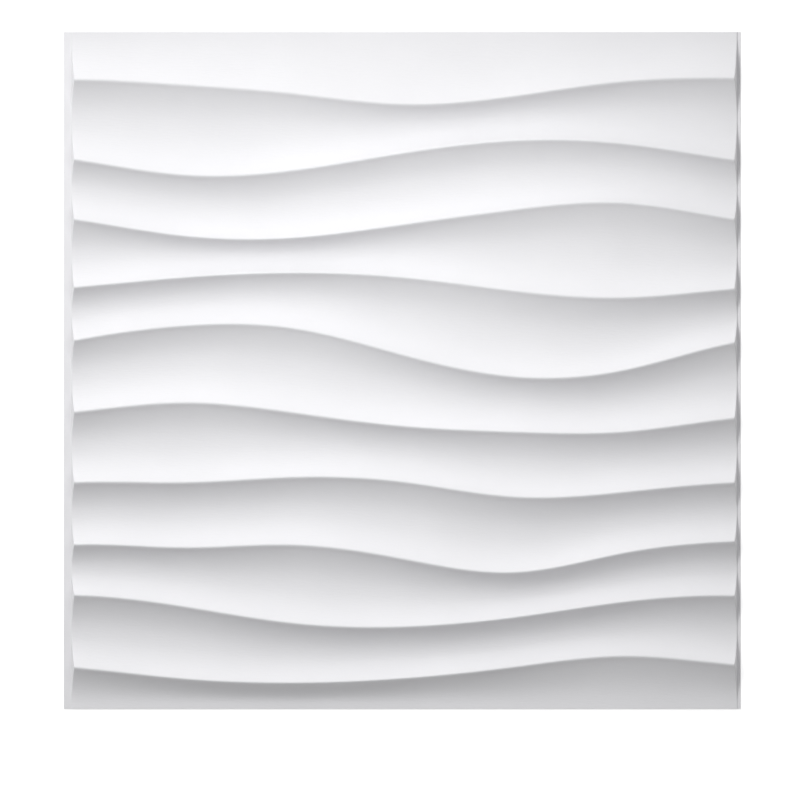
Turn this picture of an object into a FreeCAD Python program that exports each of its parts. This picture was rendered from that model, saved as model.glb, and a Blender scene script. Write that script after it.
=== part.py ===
import FreeCAD, Part
import math
import os

# Square 3D wall panel, formed from one plastic sheet. Sizes are in millimetres.
# The panel lies face up. Its frame has its origin at the middle of the panel, in the plane
# that the side flanges rest on: +X to the right, +Y to the top edge of the pattern, +Z out
# of the face. Sharp crest lines run across the panel, and between two crests the sheet
# sags to a round valley. The valleys' floors are nearly level with the flanges. The top edge
# is cut along a valley's floor, and the bottom edge has a narrow flat lip at that height.

PANEL_SIZES = {
    "panel_width": 500,
    "panel_length": 500,
    "sheet_thickness": 1,
    "side_wall_thickness": 0.8,
    "side_wall_draft": 10.5,
    "left_flange_width": 4.7,
    "right_flange_width": 2.5,
    "bottom_lip_width": 4,
    "valley_floor_rise": 0.5,
    "relief_depth": 12,
    "crest_land_width": 1.2,
}

# Width of each valley, from the crest line above it to the one below, at stations spread
# evenly from the left side wall to the right one. The first is measured from the top edge,
# and the last valley takes what is left above the bottom lip.
VALLEY_WIDTHS = {
    "valley_1": (35, 39, 45.5, 53.5, 47.5, 36.5, 34),
    "valley_2": (59, 66.5, 56.5, 35.5, 32.5, 46, 60.5),
    "valley_3": (44, 45, 50, 53, 51, 43.5, 43.5),
    "valley_4": (50.5, 30.5, 25.5, 39, 60, 70, 51.5),
    "valley_5": (39, 35.5, 41, 57.5, 63.5, 53.5, 39.5),
    "valley_6": (53, 57, 62.5, 52.5, 40.5, 45.5, 56),
    "valley_7": (52, 59, 47.5, 41, 48, 44.5, 47.5),
    "valley_8": (46, 48, 50, 57, 56, 45, 43.5),
    "valley_9": (37, 43.5, 58, 50, 33, 36, 40),
    "valley_10": (53.5, 53.5, 44, 38, 36.5, 40, 51),
}
NARROWEST_LAST_VALLEY = 5
STRIPS_ACROSS_VALLEY = 12
SEWING_TOLERANCE = 0.001

doc = FreeCAD.newDocument("wave_wall_panel")
sheet = doc.addObject("Spreadsheet::Sheet", "dimensions")


def fill_sheet():
    """Write every driving dimension to a cell of its own, with its name as the alias."""
    cells = dict(PANEL_SIZES)
    for valley, widths in VALLEY_WIDTHS.items():
        for station, width in enumerate(widths):
            cells[f"{valley}_width_{station}"] = width
    for line, (name, value) in enumerate(cells.items(), start=1):
        sheet.set(f"A{line}", name)
        sheet.set(f"B{line}", str(value))
        sheet.setAlias(f"B{line}", name)
    doc.recompute()


def size(name):
    return float(sheet.get(name))


def crest_lines():
    """Y of every crest line at its stations, from the top edge down."""
    lines = []
    line = [size("panel_length") / 2] * len(VALLEY_WIDTHS["valley_1"])
    lowest_y = NARROWEST_LAST_VALLEY + size("bottom_lip_width") - size("panel_length") / 2
    for valley in VALLEY_WIDTHS:
        widths = [size(f"{valley}_width_{station}") for station in range(len(line))]
        line = [y - width for y, width in zip(line, widths)]
        if min(line) > lowest_y:
            lines.append(line)
    return lines


class Skin:
    """One side of the formed sheet, as strips between rows of control points.

    lift is the height of this skin above the face of the same point on the front, and
    inset is how far its ends lie inside the front's draft planes.
    """

    def __init__(self, lift, inset):
        self.lift = lift
        self.inset = inset

    def side_x(self, side, z):
        """X of this skin's draft plane at height z, for side -1 (left) or 1 (right)."""
        flange = size("left_flange_width") if side < 0 else size("right_flange_width")
        lean = (z - size("sheet_thickness")) * math.tan(math.radians(size("side_wall_draft")))
        return side * (size("panel_width") / 2 - flange - self.inset - lean)

    def row(self, ys, z):
        """Control row through the stations: y as given, x spread between the draft planes."""
        left, right = self.side_x(-1, z + self.lift), self.side_x(1, z + self.lift)
        steps = len(ys) - 1
        points = []
        for station, y in enumerate(ys):
            x = left + (right - left) * station / steps
            points.append(FreeCAD.Vector(x, y, z + self.lift))
        # The pattern goes on in the next panel, so both ends share one slope.
        slope = ((ys[1] - ys[0]) + (ys[-1] - ys[-2])) / 2 * steps
        end_tangent = FreeCAD.Vector(right - left, slope, 0)
        curve = Part.BSplineCurve()
        curve.interpolate(
            Points=points,
            Parameters=[station / steps for station in range(steps + 1)],
            InitialTangent=end_tangent,
            FinalTangent=end_tangent,
            Scale=False,
        )
        return curve

    def strip(self, rows):
        """Face over control rows: flat across between two rows, a parabola between three."""
        curves = [self.row(ys, z) for ys, z in rows]
        along = curves[0]
        poles = [list(column) for column in zip(*(curve.getPoles() for curve in curves))]
        surface = Part.BSplineSurface()
        surface.buildFromPolesMultsKnots(
            poles,
            along.getMultiplicities(),
            [len(rows), len(rows)],
            along.getKnots(),
            [0, 1],
            False,
            False,
            along.Degree,
            len(rows) - 1,
        )
        return surface.toShape()

    def end_point(self, side, ys, z):
        """Where a control row meets this skin's draft plane."""
        y = ys[0] if side < 0 else ys[-1]
        return FreeCAD.Vector(self.side_x(side, z + self.lift), y, z + self.lift)

    def side_wall(self, side, strips, foot_z):
        """Flat wall from the flange up to the scalloped ends of the strips."""
        edges = []
        for rows in strips:
            arc = Part.BezierCurve()
            arc.setPoles([self.end_point(side, ys, z) for ys, z in rows])
            edges.append(arc.toShape())
        top_end = self.end_point(side, *strips[0][0])
        bottom_end = self.end_point(side, *strips[-1][-1])
        foot_x = self.side_x(side, foot_z)
        top_foot = FreeCAD.Vector(foot_x, top_end.y, foot_z)
        bottom_foot = FreeCAD.Vector(foot_x, bottom_end.y, foot_z)
        edges.append(Part.LineSegment(bottom_end, bottom_foot).toShape())
        edges.append(Part.LineSegment(bottom_foot, top_foot).toShape())
        edges.append(Part.LineSegment(top_foot, top_end).toShape())
        return Part.Face(Part.Wire(edges))


def between(first, second, share):
    """Control row that lies at a share of the way from one row to another."""
    (first_ys, first_z), (second_ys, second_z) = first, second
    ys = [y + (other - y) * share for y, other in zip(first_ys, second_ys)]
    return ys, first_z + (second_z - first_z) * share


def split_parabola(rows, pieces):
    """Control rows of the equal pieces of one parabola, which join without a kink."""
    start, middle, end = rows

    def polar(one, other):
        return between(between(start, middle, one), between(middle, end, one), other)

    cuts = [piece / pieces for piece in range(pieces + 1)]
    return [[polar(a, a), polar(a, b), polar(b, b)] for a, b in zip(cuts, cuts[1:])]


def wave_strips():
    """Control rows of every strip from the top edge down: the valleys, and a land on each crest.

    Strips are narrow across a valley, so that the facets of the sheet run along it. The last
    strip is the flat lip at the bottom edge.
    """
    floor_z = size("sheet_thickness") + size("valley_floor_rise")
    crest_z = floor_z + size("relief_depth")
    half_land = size("crest_land_width") / 2
    half_length = size("panel_length") / 2
    crests = crest_lines()
    top_edge = [half_length] * len(crests[0])
    bottom_edge = [-half_length] * len(crests[0])
    lip_start = [size("bottom_lip_width") - half_length] * len(crests[0])

    strips = []
    start = (top_edge, floor_z)
    for line in crests + [lip_start]:
        if line is lip_start:
            end = (lip_start, floor_z)
        else:
            end = ([y + half_land for y in line], crest_z)
        middle_ys, _ = between(start, end, 1 / 2)
        # The first and the last valley are halves, which begin or end level on the floor.
        is_half = floor_z in (start[1], end[1])
        middle_z = floor_z if is_half else 2 * floor_z - crest_z
        pieces = STRIPS_ACROSS_VALLEY // 2 if is_half else STRIPS_ACROSS_VALLEY
        strips += split_parabola([start, (middle_ys, middle_z), end], pieces)
        if line is lip_start:
            strips.append([end, (bottom_edge, floor_z)])
        else:
            start = ([y - half_land for y in line], crest_z)
            strips.append([end, start])
    return strips


def flat_face(points):
    return Part.Face(Part.makePolygon(points + points[:1]))


def flange_faces(front, back, side):
    """Top, underside and outer edge of the narrow flange along one side."""
    outer_x = side * size("panel_width") / 2
    half_length = size("panel_length") / 2
    top_z = size("sheet_thickness")

    def rectangle(first, second):
        (x1, z1), (x2, z2) = first, second
        return flat_face(
            [
                FreeCAD.Vector(x1, half_length, z1),
                FreeCAD.Vector(x1, -half_length, z1),
                FreeCAD.Vector(x2, -half_length, z2),
                FreeCAD.Vector(x2, half_length, z2),
            ]
        )

    return [
        rectangle((outer_x, top_z), (front.side_x(side, top_z), top_z)),
        rectangle((outer_x, 0), (back.side_x(side, 0), 0)),
        rectangle((outer_x, 0), (outer_x, top_z)),
    ]


def cut_edge_face(front, back, y):
    """Section of the sheet at the top or bottom edge, where it was cut at a valley floor's height."""
    top_z = size("sheet_thickness")
    front_z = top_z + size("valley_floor_rise")
    back_z = front_z - top_z
    half_width = size("panel_width") / 2
    outline = [(half_width, 0), (half_width, top_z), (front.side_x(1, top_z), top_z)]
    outline.append((front.side_x(1, front_z), front_z))
    outline.append((front.side_x(-1, front_z), front_z))
    outline += [(front.side_x(-1, top_z), top_z), (-half_width, top_z), (-half_width, 0)]
    outline += [(back.side_x(-1, 0), 0), (back.side_x(-1, back_z), back_z)]
    outline += [(back.side_x(1, back_z), back_z), (back.side_x(1, 0), 0)]
    return flat_face([FreeCAD.Vector(x, y, z) for x, z in outline])


def wave_panel():
    """The whole formed sheet: both skins, the drafted side walls, the flanges, the cut edges."""
    draft = math.radians(size("side_wall_draft"))
    front = Skin(0, 0)
    back = Skin(-size("sheet_thickness"), size("side_wall_thickness") / math.cos(draft))
    strips = wave_strips()
    faces = [skin.strip(rows) for skin in (front, back) for rows in strips]
    for side in (-1, 1):
        faces.append(front.side_wall(side, strips, size("sheet_thickness")))
        faces.append(back.side_wall(side, strips, 0))
        faces += flange_faces(front, back, side)
    for y in (size("panel_length") / 2, -size("panel_length") / 2):
        faces.append(cut_edge_face(front, back, y))
    shell = Part.makeShell(faces)
    shell.sewShape(SEWING_TOLERANCE)
    solid = Part.makeSolid(shell)
    if solid.Volume < 0:
        solid.reverse()
    return solid


fill_sheet()
panel = doc.addObject("Part::Feature", "wave_panel")
panel.Label = "wave_panel"
panel.Shape = wave_panel()
panel.Placement = FreeCAD.Placement()
doc.recompute()

for item in doc.Objects:
    if "Invalid" in item.State or "Error" in item.State:
        raise RuntimeError(f"{item.Label} failed to build")
if panel.Shape.isNull() or not panel.Shape.isValid():
    raise RuntimeError("the panel's shape is not a valid solid")

os.makedirs("parts", exist_ok=True)
panel.Shape.exportStep(f"parts/{panel.Label}.step")
box = panel.Shape.BoundBox
print(f"{panel.Label}: {len(panel.Shape.Solids)} solid, {len(panel.Shape.Faces)} faces")
print(f"size {box.XLength:.2f} x {box.YLength:.2f} x {box.ZLength:.2f}, volume {panel.Shape.Volume:.0f}")
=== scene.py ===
import math

import bpy
import numpy as np
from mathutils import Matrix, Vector


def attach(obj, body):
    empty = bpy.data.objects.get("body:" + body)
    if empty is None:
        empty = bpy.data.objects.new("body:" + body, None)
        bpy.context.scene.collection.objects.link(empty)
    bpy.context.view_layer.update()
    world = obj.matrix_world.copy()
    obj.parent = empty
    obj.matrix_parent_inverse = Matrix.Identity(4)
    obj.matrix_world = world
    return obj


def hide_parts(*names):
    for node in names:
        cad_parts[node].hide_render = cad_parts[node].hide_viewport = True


# A square white wave panel, formed from one thin sheet, lying face up under a camera that
# looks straight down on it. Lengths are in metres. The sheet's sizes and its crest lines are
# measured on its solid, and its curves, its rounded edges and both of its faces are drawn
# finely here.

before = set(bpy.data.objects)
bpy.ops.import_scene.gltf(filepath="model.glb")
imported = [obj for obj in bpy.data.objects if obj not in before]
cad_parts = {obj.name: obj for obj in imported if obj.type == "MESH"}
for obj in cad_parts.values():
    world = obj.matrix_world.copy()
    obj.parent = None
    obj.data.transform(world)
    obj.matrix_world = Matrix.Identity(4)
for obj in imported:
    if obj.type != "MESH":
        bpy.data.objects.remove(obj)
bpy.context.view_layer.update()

PANEL_NODE = "wave_panel"

# Two of the solid's points that differ by less than this lie on the same line or plane.
SAME_PLACE = 1e-5
DIGITS_OF_A_MICROMETRE = 6

# Roundings of the formed sheet: how far each one reaches from the sharp edge it replaces.
REACH_ABOVE_CREST = 0.0014
REACH_BELOW_CREST = 0.0017
FOOT_REACH = 0.0010
SHOULDER_REACH = 0.0008
CUT_EDGE_BEVEL = 0.00012

# How much lower than the middle of the solid's flat land a crest's rounding is centred.
CREST_LOWER = 0.00045

# The section of a valley rises from its floor with this power of the distance. The solid's is
# a parabola, and the photo shows one a little flatter on the floor and steeper at the crests.
VALLEY_POWER = 2.25

# Just below a crest the sheet folds down steeper still: by what share of a parabola's slope
# there, and how far below the crest it lies lowest under the rest of the section.
FOLD_SHARE = 0.55
FOLD_REACH = 0.0025

# The side walls as the photo shows them next to the solid's: the left one stands farther in,
# and both are a little steeper.
LEFT_WALL_INWARD = 0.0012
WALL_LEAN = math.tan(math.radians(9))

# How finely the sheet is drawn. A support line close to a rounding keeps it crisp.
FIELD_COLUMNS = 130
VALLEY_ROWS = 18
EDGE_VALLEY_ROWS = 9
ROWS_CLOSE_BELOW_CREST = 1.4
SUPPORT_GAP = 0.0002
ROUNDING_STEPS = (0.15, 0.33, 0.5, 0.67, 0.85)

# The white PVC: two close tones in wide patches, a haze in small ones, and two bumps, fine
# streaks along the crests over wide and faint marks of the forming. A noise's size is that of
# one patch. The matte face mirrors less than smooth PVC would.
SPECULAR_LEVEL = 0.25
DARK_TONE = (0.803, 0.801, 0.820, 1)
LIGHT_TONE = (0.823, 0.821, 0.840, 1)
TONE_SIZE = 0.060
HAZE_SIZE = 0.012
HAZE_ROUGHNESS = 0.50, 0.60
STREAK_SIZE = 0.0012
STREAK_SQUEEZE = (0.2, 1, 1)
STREAK_STRENGTH = 0.5
MARK_SIZE = 0.022
MARK_STRENGTH = 0.3
BUMP_HEIGHT = 0.0002

# A noise's values mostly lie between these two.
NOISE_LOW, NOISE_HIGH = 0.3, 0.7

# The camera looks straight down, with the top of the picture toward +Y.
CAMERA_PLACE = (-0.0016, -0.0219, 16.415)
CAMERA_LENS = 1000

# Soft square lamps, aimed at the middle of the panel: compass direction clockwise from +Y,
# height angle, distance, and the light each gives there on a surface that faces it.
LAMPS = {
    "lamp_overhead": (0, 80, 0.45, 0.182),
    "lamp_near_top": (0, 65, 0.45, 0.095),
    "lamp_left": (315, 50, 2.0, 0.27),
    "lamp_left_low": (315, 35, 2.0, 0.251),
    "lamp_top_low": (0, 20, 4.0, 0.16),
}
LAMP_SIZE_TO_DISTANCE = 0.5
ROOM_LIGHT = 0.361
FLOOR_COLOR = (0.85, 0.85, 0.85, 1)
FLOOR_ROUGHNESS = 0.9
FLOOR_GLOW = 0.55
FLOOR_HALF_SIZE = 6.0
WHITE = (1, 1, 1, 1)

# The floor lies a hair below the backs of the flanges, so that no two faces share a plane.
FLOOR_Z = -0.0001


class Sheet:
    """The formed sheet's sizes, measured on its solid."""

    def __init__(self, solid):
        flat = np.zeros(len(solid.data.vertices) * 3)
        solid.data.vertices.foreach_get("co", flat)
        points = flat.reshape(-1, 3)
        low, high = points.min(axis=0), points.max(axis=0)
        self.half_width = high[0]
        self.top_y, self.bottom_y = high[1], low[1]
        self.crest_z = high[2]

        cut_edge = points[points[:, 1] > self.top_y - SAME_PLACE]
        self.floor_z = cut_edge[:, 2].max()
        self.thickness = cut_edge[cut_edge[:, 0] < low[0] + SAME_PLACE][:, 2].max()
        self.front_feet = self.flange_ends(cut_edge, self.thickness)
        self.back_feet = self.flange_ends(cut_edge, 0)

        crest_points = points[points[:, 2] > self.crest_z - SAME_PLACE]
        self.crest_ends = crest_points[:, 0].min(), crest_points[:, 0].max()
        self.crests, self.land_width = self.trace_crests(crest_points)
        low_points = points[abs(points[:, 2] - self.floor_z) < SAME_PLACE]
        self.lip_y = low_points[low_points[:, 1] < self.crests[-1][1].min(), 1].max()

    @staticmethod
    def flange_ends(cut_edge, z):
        """X where the left and the right flange end at height z, read on the cut edge.

        The left one is moved in to where the photo shows it.
        """
        xs = cut_edge[abs(cut_edge[:, 2] - z) < SAME_PLACE][:, 0]
        return xs[xs < 0].max() + LEFT_WALL_INWARD, xs[xs > 0].min()

    def trace_crests(self, points):
        """Middle line of each crest's flat land, top one first, and the land's width.

        The two borders of a land have their points at the same x, one above the other.
        """
        left, right = self.crest_ends
        points = np.unique(np.round(points[:, :2], DIGITS_OF_A_MICROMETRE), axis=0)
        at_left = points[:, 0] < left + SAME_PLACE
        borders = np.sort(points[at_left][:, 1])[::-1]
        lines = [[(left, (y + below) / 2)] for y, below in zip(borders[::2], borders[1::2])]
        for x, y in points[~at_left]:
            line = min(lines, key=lambda known: abs(known[-1][1] - y))
            if x - line[-1][0] < SAME_PLACE:
                line[-1] = (x, (line[-1][1] + y) / 2)
            else:
                line.append((x, y))
        lines = [np.array(line) for line in lines]
        crests = [((line[:, 0] - left) / (right - left), line[:, 1]) for line in lines]
        return crests, borders[0] - borders[1]


def smooth_curve(known_at, known, wanted_at):
    """Smooth curve through known values, with the slope at each taken from its neighbours."""
    slopes = np.gradient(known, known_at)
    span = np.clip(np.searchsorted(known_at, wanted_at, side="right") - 1, 0, len(known) - 2)
    step = known_at[span + 1] - known_at[span]
    t = (wanted_at - known_at[span]) / step
    return (
        (2 * t**3 - 3 * t**2 + 1) * known[span]
        + (t**3 - 2 * t**2 + t) * step * slopes[span]
        + (3 * t**2 - 2 * t**3) * known[span + 1]
        + (t**3 - t**2) * step * slopes[span + 1]
    )


def bend(start, corner, end):
    """Points of a rounding that leaves the line to a sharp corner and joins the line after it."""
    return [(1 - t) ** 2 * start + 2 * t * (1 - t) * corner + t**2 * end for t in ROUNDING_STEPS]


def toward(start, goal, reach):
    """Points at a distance from start toward goal, but never past a third of the way."""
    way = goal - start
    length = np.linalg.norm(way, axis=-1, keepdims=True)
    return start + way * np.minimum(reach / length, 1 / 3)


def valley_rows(sheet, above, below, from_floor, to_floor):
    """Rows of one valley, from the crest line above it to the one below, and its end slopes.

    Its section is close to a parabola, level on the valley's floor, with a fold just below a
    crest. The valleys at the panel's top and bottom edges are halves, which start or end on that
    floor. A row is y and z at every column.
    """
    start = above if from_floor else above - sheet.land_width / 2
    end = below if to_floor else below + sheet.land_width / 2
    if from_floor or to_floor:
        floor_y = start if from_floor else end
        half_width = start - end
        count = EDGE_VALLEY_ROWS
    else:
        floor_y = (start + end) / 2
        half_width = (start - end) / 2
        count = VALLEY_ROWS
    first = start if from_floor else above - REACH_BELOW_CREST
    last = end if to_floor else below + REACH_ABOVE_CREST
    shares = [(step / count) ** ROWS_CLOSE_BELOW_CREST for step in range(count + 1)]
    ys = [first + (last - first) * share for share in shares]
    ys.insert(1, first - SUPPORT_GAP)
    ys.insert(-1, last + SUPPORT_GAP)
    depth = sheet.crest_z - sheet.floor_z
    steeper = 0 if from_floor else FOLD_SHARE * 2 * depth / half_width

    def height(y):
        below_crest = start - y
        fold = steeper * below_crest * np.exp(-below_crest / FOLD_REACH)
        from_middle = abs(y - floor_y) / half_width
        return sheet.floor_z + depth * from_middle**VALLEY_POWER - fold

    def slope(y):
        from_middle = abs(y - floor_y) / half_width
        rise = VALLEY_POWER * depth / half_width * from_middle ** (VALLEY_POWER - 1)
        reached = (start - y) / FOLD_REACH
        return np.sign(y - floor_y) * rise + steeper * (1 - reached) * np.exp(-reached)

    return [(y, height(y)) for y in ys], [slope(first), slope(last)]


def crest_rows(above, slope_above, below, slope_below):
    """Rows that round a crest, tangent to the valley above it and to the one below."""
    (above_y, above_z), (below_y, below_z) = above, below
    drop = below_z - above_z + slope_above * above_y - slope_below * below_y
    meet_y = drop / (slope_above - slope_below)
    meet_z = above_z + slope_above * (meet_y - above_y)
    return list(zip(bend(above_y, meet_y, below_y), bend(above_z, meet_z, below_z)))


def field_rows(sheet, shares):
    """Y and z of all rows of the waves, from the panel's top edge down to its bottom edge.

    Each row is read at shares of the way from the left wall to the right one. The last rows
    are those of the flat lip.
    """
    top_edge = np.full(len(shares), sheet.top_y)
    bottom_edge = np.full(len(shares), sheet.bottom_y)
    crests = [smooth_curve(at, line, shares) - CREST_LOWER for at, line in sheet.crests]
    lines = [top_edge, *crests, np.full(len(shares), sheet.lip_y)]
    rows = []
    for number, (above, below) in enumerate(zip(lines, lines[1:])):
        valley, slopes = valley_rows(sheet, above, below, number == 0, number == len(crests))
        if rows:
            rows += crest_rows(rows[-1], slope_before, valley[0], slopes[0])
        rows += valley
        slope_before = slopes[1]
    level = np.full(len(shares), sheet.floor_z)
    rows += [(bottom_edge + SUPPORT_GAP, level), (bottom_edge, level)]
    return np.array([y for y, z in rows]), np.array([z for y, z in rows])


def side_columns(sheet, side, ends, inner, back):
    """Columns from a flange's outer edge up the side wall to the first column of the waves.

    ends are the sharp upper ends of the wall, one to a row, and inner is where the rounding
    over them stops.
    """
    feet = sheet.back_feet if back else sheet.front_feet
    ys = ends[:, 1]
    zs = np.full(len(ends), 0.0 if back else sheet.thickness)
    edge_x = side * (sheet.half_width - CUT_EDGE_BEVEL)
    edge = np.stack([np.full(len(ends), edge_x), ys, zs], axis=-1)
    foot = np.stack([np.full(len(ends), feet[0] if side < 0 else feet[1]), ys, zs], axis=-1)
    before_foot, after_foot = toward(foot, edge, FOOT_REACH), toward(foot, ends, FOOT_REACH)
    shoulder = toward(ends, foot, SHOULDER_REACH)
    return [
        edge,
        toward(edge, before_foot, SUPPORT_GAP),
        toward(before_foot, edge, SUPPORT_GAP),
        before_foot,
        *bend(before_foot, foot, after_foot),
        after_foot,
        toward(after_foot, shoulder, SUPPORT_GAP),
        toward(shoulder, after_foot, SUPPORT_GAP),
        shoulder,
        *bend(shoulder, ends, inner),
    ]


def face_grid(sheet, back):
    """Points over one face of the sheet, as rows from the top edge down.

    A row's columns run from the left flange to the right one.
    """
    width = sheet.crest_ends[1] - sheet.crest_ends[0]
    inner = SHOULDER_REACH / width
    support = (SHOULDER_REACH + SUPPORT_GAP) / width
    spread = [step / FIELD_COLUMNS for step in range(1, FIELD_COLUMNS)]
    shares = np.array([0, inner, support, *spread, 1 - support, 1 - inner, 1])
    ys, zs = field_rows(sheet, shares)
    inset = 0
    if back:
        # The back of a wall rises from its own foot, in the plane that the flanges rest on.
        zs = zs - sheet.thickness
        inset = sheet.back_feet[0] - sheet.front_feet[0] + sheet.thickness * WALL_LEAN
    climb = (zs - sheet.thickness) * WALL_LEAN + inset
    left, right = sheet.front_feet[0] + climb, sheet.front_feet[1] - climb
    waves = np.stack([left + (right - left) * shares, ys, zs], axis=-1)
    columns = [
        *side_columns(sheet, -1, waves[:, 0], waves[:, 1], back),
        *waves[:, 1:-1].transpose(1, 0, 2),
        *side_columns(sheet, 1, waves[:, -1], waves[:, -2], back)[::-1],
    ]
    grid = np.stack(columns, axis=1)
    grid[0, :, 1] = sheet.top_y - CUT_EDGE_BEVEL
    grid[-1, :, 1] = sheet.bottom_y + CUT_EDGE_BEVEL
    return grid


def edge_grid(sheet, grid, drop):
    """The same points with the outer ones out on the cut edge, and all of them lower by a drop."""
    out = grid.copy()
    out[0, :, 1], out[-1, :, 1] = sheet.top_y, sheet.bottom_y
    out[:, 0, 0], out[:, -1, 0] = -sheet.half_width, sheet.half_width
    out[:, :, 2] -= drop
    return out


def formed_sheet(sheet):
    """The closed mesh of the whole sheet: both faces, and the bevelled cut edge round them."""
    front, back = face_grid(sheet, False), face_grid(sheet, True)
    count = front.shape[0] * front.shape[1]
    indices = np.arange(count).reshape(front.shape[:2])
    border = np.concatenate(
        [indices[0, :-1], indices[:-1, -1], indices[-1, :0:-1], indices[:0:-1, 0]]
    )
    front_rim = edge_grid(sheet, front, CUT_EDGE_BEVEL).reshape(-1, 3)[border]
    back_rim = edge_grid(sheet, back, -CUT_EDGE_BEVEL).reshape(-1, 3)[border]
    points = np.concatenate([front.reshape(-1, 3), back.reshape(-1, 3), front_rim, back_rim])

    corners = (indices[:-1, :-1], indices[1:, :-1], indices[1:, 1:], indices[:-1, 1:])
    front_quads = np.stack([corner.ravel() for corner in corners], axis=-1)
    quads = [front_quads, front_quads[:, ::-1] + count]
    first_of_rim = 2 * count
    rim = np.arange(len(border))
    rings = [border, first_of_rim + rim, first_of_rim + len(border) + rim, border + count]
    for upper, lower in zip(rings, rings[1:]):
        quads.append(np.stack([upper, np.roll(upper, -1), np.roll(lower, -1), lower], axis=-1))

    mesh = bpy.data.meshes.new("formed_sheet")
    mesh.from_pydata(points.tolist(), [], np.concatenate(quads).tolist())
    mesh.shade_smooth()
    mesh.validate()
    piece = bpy.data.objects.new("formed_sheet", mesh)
    bpy.context.scene.collection.objects.link(piece)
    return piece


def link(material, source, target):
    material.node_tree.links.new(source, target)


def noise(material, place, size, detail):
    """Noise texture in the object's own coordinates, with patches of about one size."""
    node = material.node_tree.nodes.new("ShaderNodeTexNoise")
    node.inputs["Scale"].default_value = 1 / size
    node.inputs["Detail"].default_value = detail
    link(material, place, node.inputs["Vector"])
    return node.outputs["Fac"]


def ranged(material, value, low, high):
    """A noise's value, spread over the range from low to high."""
    node = material.node_tree.nodes.new("ShaderNodeMapRange")
    node.inputs["From Min"].default_value = NOISE_LOW
    node.inputs["From Max"].default_value = NOISE_HIGH
    node.inputs["To Min"].default_value = low
    node.inputs["To Max"].default_value = high
    link(material, value, node.inputs["Value"])
    return node.outputs["Result"]


def bumped(material, height, strength, normal=None):
    """Normal of a surface with a bump, on top of the bump that another normal has."""
    node = material.node_tree.nodes.new("ShaderNodeBump")
    node.inputs["Strength"].default_value = strength
    node.inputs["Distance"].default_value = BUMP_HEIGHT
    link(material, height, node.inputs["Height"])
    if normal:
        link(material, normal, node.inputs["Normal"])
    return node.outputs["Normal"]


def matte_pvc():
    """White formed PVC: fine matte streaks along the crests, and a faint unevenness."""
    material = bpy.data.materials.new("matte_white_pvc")
    material.use_nodes = True
    nodes = material.node_tree.nodes
    shader = nodes["Principled BSDF"]
    shader.inputs["Specular IOR Level"].default_value = SPECULAR_LEVEL
    place = nodes.new("ShaderNodeTexCoord").outputs["Object"]

    patches = noise(material, place, TONE_SIZE, detail=3)
    tone = nodes.new("ShaderNodeMix")
    tone.data_type = "RGBA"
    tone.inputs["A"].default_value = DARK_TONE
    tone.inputs["B"].default_value = LIGHT_TONE
    link(material, ranged(material, patches, 0, 1), tone.inputs["Factor"])
    link(material, tone.outputs["Result"], shader.inputs["Base Color"])

    haze = noise(material, place, HAZE_SIZE, detail=4)
    link(material, ranged(material, haze, *HAZE_ROUGHNESS), shader.inputs["Roughness"])

    along = nodes.new("ShaderNodeMapping")
    along.inputs["Scale"].default_value = STREAK_SQUEEZE
    link(material, place, along.inputs["Vector"])
    streaks = noise(material, along.outputs["Vector"], STREAK_SIZE, detail=2)
    marks = noise(material, place, MARK_SIZE, detail=1)
    marked = bumped(material, marks, MARK_STRENGTH)
    link(material, bumped(material, streaks, STREAK_STRENGTH, marked), shader.inputs["Normal"])
    return material


def seen_directly(nodes, links):
    """1 for rays from the camera and in reflections and glass, 0 for rays that carry light."""
    path = nodes.new("ShaderNodeLightPath")
    total = path.outputs["Is Camera Ray"]
    for name in ("Is Glossy Ray", "Is Transmission Ray"):
        add = nodes.new("ShaderNodeMath")
        add.operation = "ADD"
        add.use_clamp = True
        links.new(total, add.inputs[0])
        links.new(path.outputs[name], add.inputs[1])
        total = add.outputs[0]
    return total


def white_floor():
    """Floor that looks white to the camera and in reflections, and still takes shadows."""
    material = bpy.data.materials.new("white_floor")
    material.use_nodes = True
    nodes = material.node_tree.nodes
    shader = nodes["Principled BSDF"]
    shader.inputs["Base Color"].default_value = FLOOR_COLOR
    shader.inputs["Roughness"].default_value = FLOOR_ROUGHNESS
    shader.inputs["Emission Color"].default_value = WHITE
    seen = seen_directly(nodes, material.node_tree.links)
    strength = nodes.new("ShaderNodeMath")
    strength.operation = "MULTIPLY"
    strength.inputs[1].default_value = FLOOR_GLOW
    link(material, seen, strength.inputs[0])
    link(material, strength.outputs[0], shader.inputs["Emission Strength"])
    return material


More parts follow.
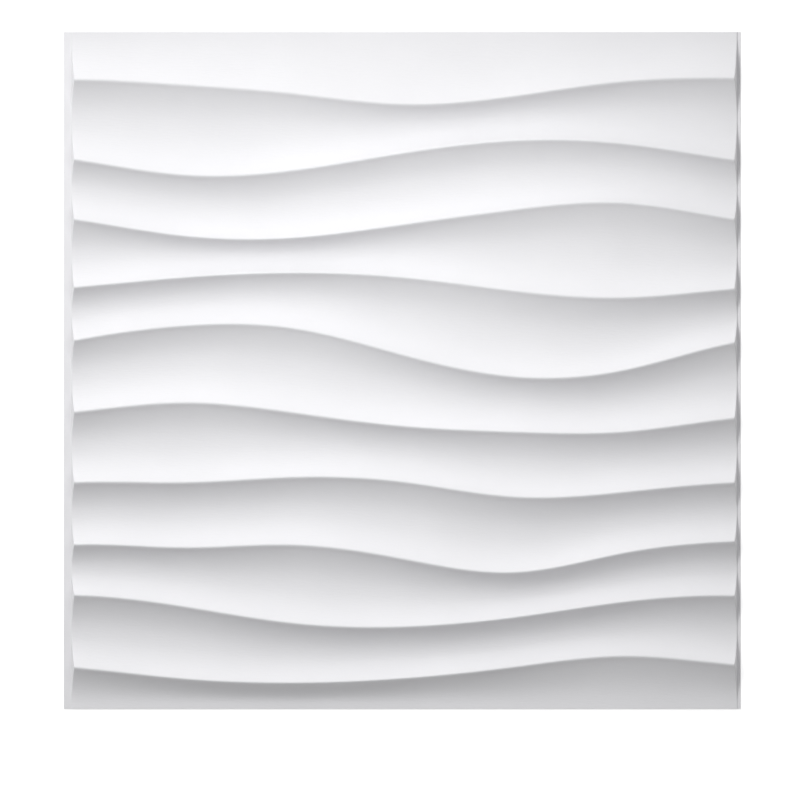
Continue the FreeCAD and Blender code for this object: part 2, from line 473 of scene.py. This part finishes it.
def lay_floor():
    far = FLOOR_HALF_SIZE
    corners = [(x, y, FLOOR_Z) for x, y in ((-far, -far), (far, -far), (far, far), (-far, far))]
    mesh = bpy.data.meshes.new("studio_floor")
    mesh.from_pydata(corners, [], [(0, 1, 2, 3)])
    mesh.materials.append(white_floor())
    floor = bpy.data.objects.new("studio_floor", mesh)
    bpy.context.scene.collection.objects.link(floor)


def light_room():
    world = bpy.data.worlds.new("studio")
    world.use_nodes = True
    bpy.context.scene.world = world
    nodes, links = world.node_tree.nodes, world.node_tree.links
    background = nodes["Background"]
    background.inputs["Color"].default_value = WHITE
    mix = nodes.new("ShaderNodeMapRange")
    mix.inputs["To Min"].default_value = ROOM_LIGHT
    mix.inputs["To Max"].default_value = 1
    links.new(seen_directly(nodes, links), mix.inputs["Value"])
    links.new(mix.outputs["Result"], background.inputs["Strength"])


def hang_lamps():
    for name, (compass, height, distance, light) in LAMPS.items():
        around, up = math.radians(compass), math.radians(height)
        way = Vector(
            (math.sin(around) * math.cos(up), math.cos(around) * math.cos(up), math.sin(up))
        )
        lamp = bpy.data.lights.new(name, "AREA")
        lamp.shape = "SQUARE"
        lamp.size = LAMP_SIZE_TO_DISTANCE * distance
        # A small square lamp's watts for one unit of light at a distance.
        lamp.energy = light * (math.pi * distance) ** 2
        holder = bpy.data.objects.new(name, lamp)
        holder.location = way * distance
        holder.rotation_euler = (-way).to_track_quat("-Z", "Y").to_euler()
        bpy.context.scene.collection.objects.link(holder)


def place_camera():
    camera = bpy.data.cameras.new("camera")
    camera.lens = CAMERA_LENS
    holder = bpy.data.objects.new("camera", camera)
    holder.location = CAMERA_PLACE
    bpy.context.scene.collection.objects.link(holder)
    bpy.context.scene.camera = holder


sheet = Sheet(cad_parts[PANEL_NODE])
piece = formed_sheet(sheet)
piece.data.materials.append(matte_pvc())
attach(piece, "root")
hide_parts(PANEL_NODE)

place_camera()
lay_floor()
light_room()
hang_lamps()
bpy.context.scene.view_settings.view_transform = "Standard"
